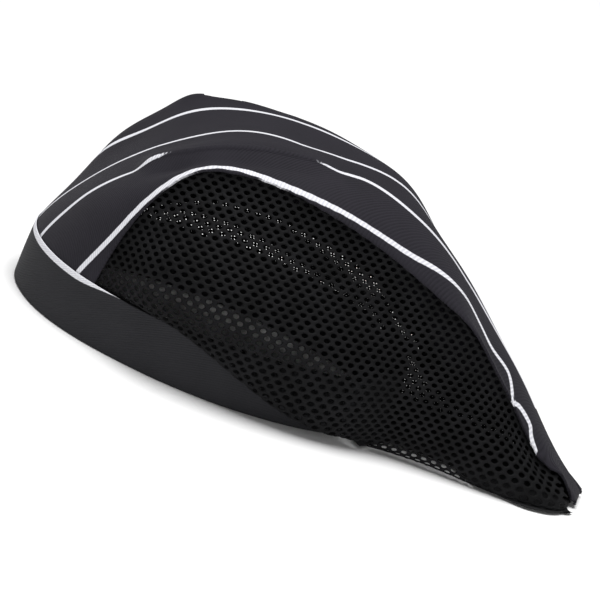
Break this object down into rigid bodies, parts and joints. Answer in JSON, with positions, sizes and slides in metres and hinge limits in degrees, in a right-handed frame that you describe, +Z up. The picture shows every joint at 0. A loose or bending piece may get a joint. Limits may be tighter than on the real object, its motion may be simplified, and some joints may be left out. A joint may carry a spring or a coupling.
{
  "type": "slouch chef cap",
  "caption": "Soft cook's cap with a stiffened head band, a striped crown panel running back into a long tail, and open net side panels, for covering hair in a kitchen.",
  "frame": {"origin": "middle of the head opening, in the plane of the band's rim", "axes": "+Z up from the rim to the crown, +X from the brow back to the tail, +Y to the side turned away in the picture"},
  "size_m": [0.3063, 0.1702, 0.1207],
  "materials": {
    "band_twill": "black cotton twill",
    "crown_twill": "black cotton twill with woven white stripes",
    "net": "black knitted polyester net with six-sided holes",
    "lining": "plain black cotton",
    "stiffener": "grey non-woven interlining",
    "elastic": "woven elastic webbing"
  },
  "bodies": {
    "root": {"band_outer": "band_twill", "band_stiffener": "stiffener", "band_lining": "lining", "elastic_casing": "lining", "rear_elastic": "elastic", "crown_panel": "crown_twill", "under_panel": "crown_twill", "net_panel_near": "net", "net_panel_far": "net"}
  },
  "joints": []
}
